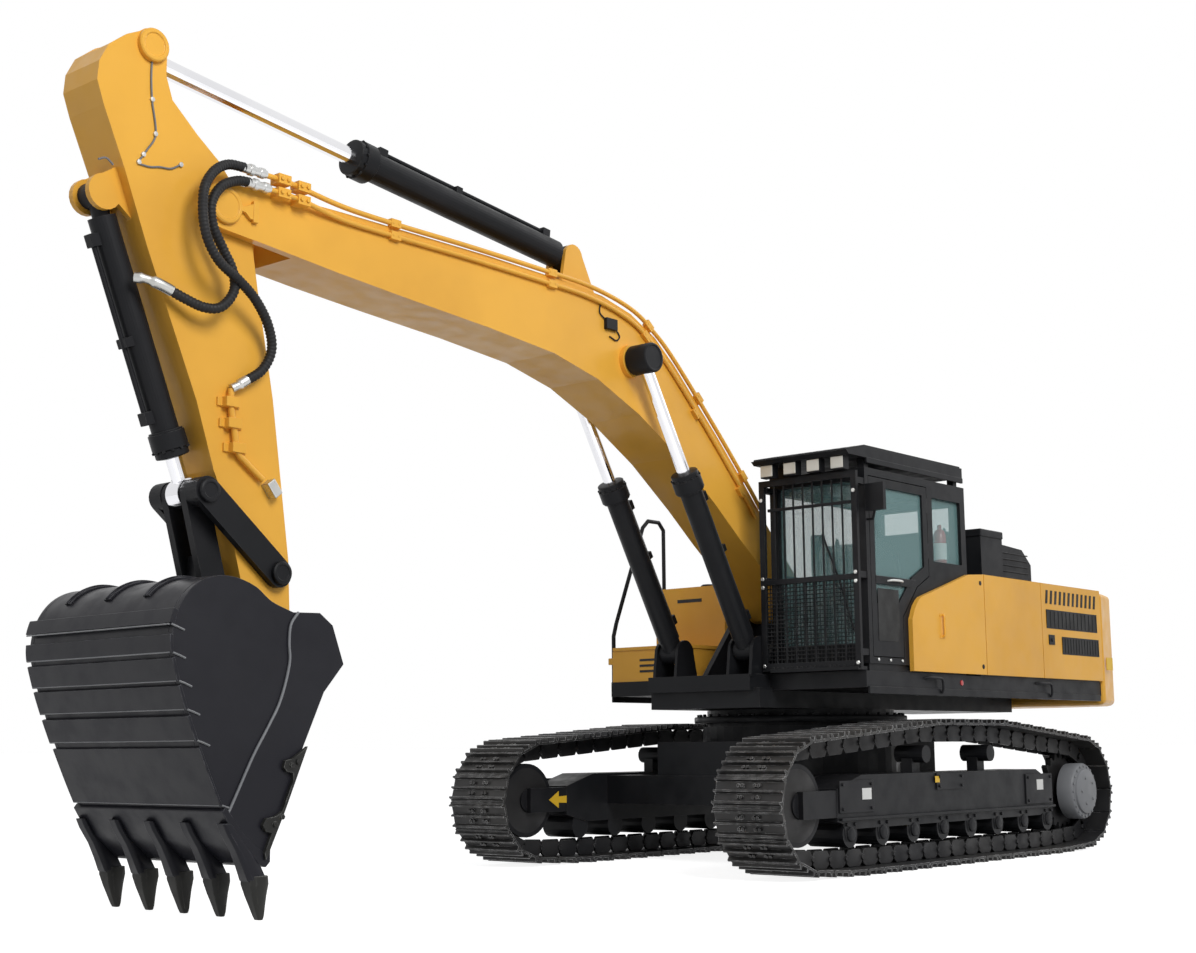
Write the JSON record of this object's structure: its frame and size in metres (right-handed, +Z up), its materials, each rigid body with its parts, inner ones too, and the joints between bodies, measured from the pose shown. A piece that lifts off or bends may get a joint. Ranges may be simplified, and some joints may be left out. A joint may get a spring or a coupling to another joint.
{
  "type": "crawler excavator",
  "caption": "Crawler excavator with a one-piece boom, arm and digging bucket, a guarded cab and a rear counterweight, parked with its bucket at the ground.",
  "frame": {"origin": "middle of the bounding box in plan, on the ground under the tracks", "axes": "+X forward, towards the bucket; +Y to the operator's left; +Z up"},
  "size_m": [11.18, 3.3, 5.314],
  "materials": {
    "yellow_paint": "semi-gloss golden-yellow paint",
    "black_paint": "satin black paint",
    "track_steel": "dark steel, worn bright on edges",
    "chrome": "ground and polished",
    "grey_paint": "satin grey paint",
    "seat_fabric": "woven cloth"
  },
  "bodies": {
    "undercarriage": {"left_track": "track_steel", "right_track": "track_steel", "left_track_frame": "black_paint", "right_track_frame": "black_paint", "left_sprocket": "grey_paint", "right_sprocket": "grey_paint", "car_body": "black_paint"},
    "upper": {"upper_frame": "black_paint", "counterweight": "yellow_paint", "house_frame": "black_paint", "engine_block": "grey_paint", "air_filter_box": "black_paint", "fuel_tank": "yellow_paint", "tool_box": "yellow_paint", "right_handrail": "black_paint", "cab_shell": "black_paint", "roof_guard": "black_paint", "front_guard": "black_paint", "cab_mirror": "black_paint", "seat": "seat_fabric", "consoles": "black_paint"},
    "cab_door": {"cab_door": "black_paint"},
    "left_front_door": {"left_front_door": "yellow_paint"},
    "left_middle_door": {"left_middle_door": "yellow_paint"},
    "left_rear_door": {"left_rear_door": "yellow_paint"},
    "right_front_door": {"right_front_door": "yellow_paint"},
    "right_rear_door": {"right_rear_door": "yellow_paint"},
    "engine_hood": {"engine_hood": "black_paint"},
    "tool_box_lid": {"tool_box_lid": "yellow_paint"},
    "boom": {"boom": "yellow_paint"},
    "arm": {"arm": "yellow_paint"},
    "bucket": {"bucket": "track_steel"},
    "rocker": {"rocker": "black_paint"},
    "link": {"bucket_link": "black_paint"},
    "left_boom_barrel": {"left_boom_cylinder_barrel": "black_paint"},
    "left_boom_rod": {"left_boom_cylinder_rod": "chrome"},
    "right_boom_barrel": {"right_boom_cylinder_barrel": "black_paint"},
    "right_boom_rod": {"right_boom_cylinder_rod": "chrome"},
    "arm_barrel": {"arm_cylinder_barrel": "black_paint"},
    "arm_rod": {"arm_cylinder_rod": "chrome"},
    "bucket_barrel": {"bucket_cylinder_barrel": "black_paint"},
    "bucket_rod": {"bucket_cylinder_rod": "chrome"}
  },
  "joints": [
    {"name": "swing", "type": "hinge", "parent": "undercarriage", "child": "upper", "pos_m": [-1.84, 0, 1.2695], "axis": [0, 0, 1], "continuous": true},
    {"name": "boom_lift", "type": "hinge", "parent": "upper", "child": "boom", "pos_m": [-1.56, 0, 2.2], "axis": [0, -1, 0], "range_deg": [-40, 36]},
    {"name": "arm_swing", "type": "hinge", "parent": "boom", "child": "arm", "pos_m": [4.7, 0, 4.3], "axis": [0, 1, 0], "range_deg": [-95, 25]},
    {"name": "bucket_curl", "type": "hinge", "parent": "arm", "child": "bucket", "pos_m": [4.21, 0, 1.52], "axis": [0, 1, 0], "range_deg": [-4, 121]},
    {"name": "left_boom_barrel_tilt", "type": "hinge", "parent": "upper", "child": "left_boom_barrel", "pos_m": [-0.54, 0.385, 1.74], "axis": [0, -1, 0], "range_deg": [-45.59, 41.2]},
    {"name": "left_boom_rod_stroke", "type": "slide", "parent": "left_boom_barrel", "child": "left_boom_rod", "axis": [0.5111, 0, 0.8595], "range_m": [-0.7539, 0.6814]},
    {"name": "right_boom_barrel_tilt", "type": "hinge", "parent": "upper", "child": "right_boom_barrel", "pos_m": [-0.54, -0.385, 1.74], "axis": [0, -1, 0], "range_deg": [-45.59, 41.2]},
    {"name": "right_boom_rod_stroke", "type": "slide", "parent": "right_boom_barrel", "child": "right_boom_rod", "axis": [0.5111, 0, 0.8595], "range_m": [-0.7539, 0.6814]},
    {"name": "arm_barrel_tilt", "type": "hinge", "parent": "boom", "child": "arm_barrel", "pos_m": [1.26, 0, 4.74], "axis": [0, 1, 0], "range_deg": [-0.0984, 0.0284]},
    {"name": "arm_rod_stroke", "type": "slide", "parent": "arm_barrel", "child": "arm_rod", "axis": [0.9933, 0, 0.1154], "range_m": [-1.6058, 0.4524]},
    {"name": "rocker_tilt", "type": "hinge", "parent": "arm", "child": "rocker", "pos_m": [4.2, 0, 2.05], "axis": [0, 1, 0], "range_deg": [-4.6, 87.44]},
    {"name": "link_tilt", "type": "hinge", "parent": "bucket", "child": "link", "pos_m": [4.58, 0, 1.87], "axis": [0, 1, 0], "range_deg": [-108.31, 5.7]},
    {"name": "bucket_barrel_tilt", "type": "hinge", "parent": "arm", "child": "bucket_barrel", "pos_m": [5.46, 0, 4.24], "axis": [0, 1, 0], "range_deg": [-11.73, 0.62]},
    {"name": "bucket_rod_stroke", "type": "slide", "parent": "bucket_barrel", "child": "bucket_rod", "axis": [-0.3751, 0, -0.927], "range_m": [-0.0502, 0.9365]},
    {"name": "cab_door_swing", "type": "hinge", "parent": "upper", "child": "cab_door", "pos_m": [-1.64, 1.46, 2.4], "axis": [0, 0, 1], "range_deg": [0, 130]},
    {"name": "left_front_door_swing", "type": "hinge", "parent": "upper", "child": "left_front_door", "pos_m": [-2.502, 1.5, 1.986], "axis": [0, 0, 1], "range_deg": [0, 100]},
    {"name": "left_middle_door_swing", "type": "hinge", "parent": "upper", "child": "left_middle_door", "pos_m": [-3.575, 1.5, 1.986], "axis": [0, 0, 1], "range_deg": [0, 100]},
    {"name": "left_rear_door_swing", "type": "hinge", "parent": "upper", "child": "left_rear_door", "pos_m": [-4.82, 1.5, 1.986], "axis": [0, 0, 1], "range_deg": [0, 100]},
    {"name": "right_front_door_swing", "type": "hinge", "parent": "upper", "child": "right_front_door", "pos_m": [-3.575, -1.5, 1.986], "axis": [0, 0, -1], "range_deg": [0, 100]},
    {"name": "right_rear_door_swing", "type": "hinge", "parent": "upper", "child": "right_rear_door", "pos_m": [-4.82, -1.5, 1.986], "axis": [0, 0, -1], "range_deg": [0, 100]},
    {"name": "engine_hood_lift", "type": "hinge", "parent": "upper", "child": "engine_hood", "pos_m": [-4.81, 0, 2.4208], "axis": [0, -1, 0], "range_deg": [0, 60]},
    {"name": "tool_box_lid_lift", "type": "hinge", "parent": "upper", "child": "tool_box_lid", "pos_m": [-1.628, -1.04, 1.85], "axis": [0, -1, 0], "range_deg": [0, 80]}
  ],
  "couplings": [
    {"joint": "left_boom_barrel_tilt", "follows": "boom_lift", "ratio": 1.098},
    {"joint": "left_boom_rod_stroke", "follows": "boom_lift", "m_per_rad": 1.039},
    {"joint": "right_boom_barrel_tilt", "follows": "boom_lift", "ratio": 1.098},
    {"joint": "right_boom_rod_stroke", "follows": "boom_lift", "m_per_rad": 1.039},
    {"joint": "arm_barrel_tilt", "follows": "arm_swing", "ratio": 0.001},
    {"joint": "arm_rod_stroke", "follows": "arm_swing", "m_per_rad": 0.944},
    {"joint": "rocker_tilt", "follows": "bucket_curl", "ratio": 0.708},
    {"joint": "link_tilt", "follows": "bucket_curl", "ratio": -0.877},
    {"joint": "bucket_barrel_tilt", "follows": "bucket_curl", "ratio": -0.095},
    {"joint": "bucket_rod_stroke", "follows": "bucket_curl", "m_per_rad": 0.434}
  ]
}
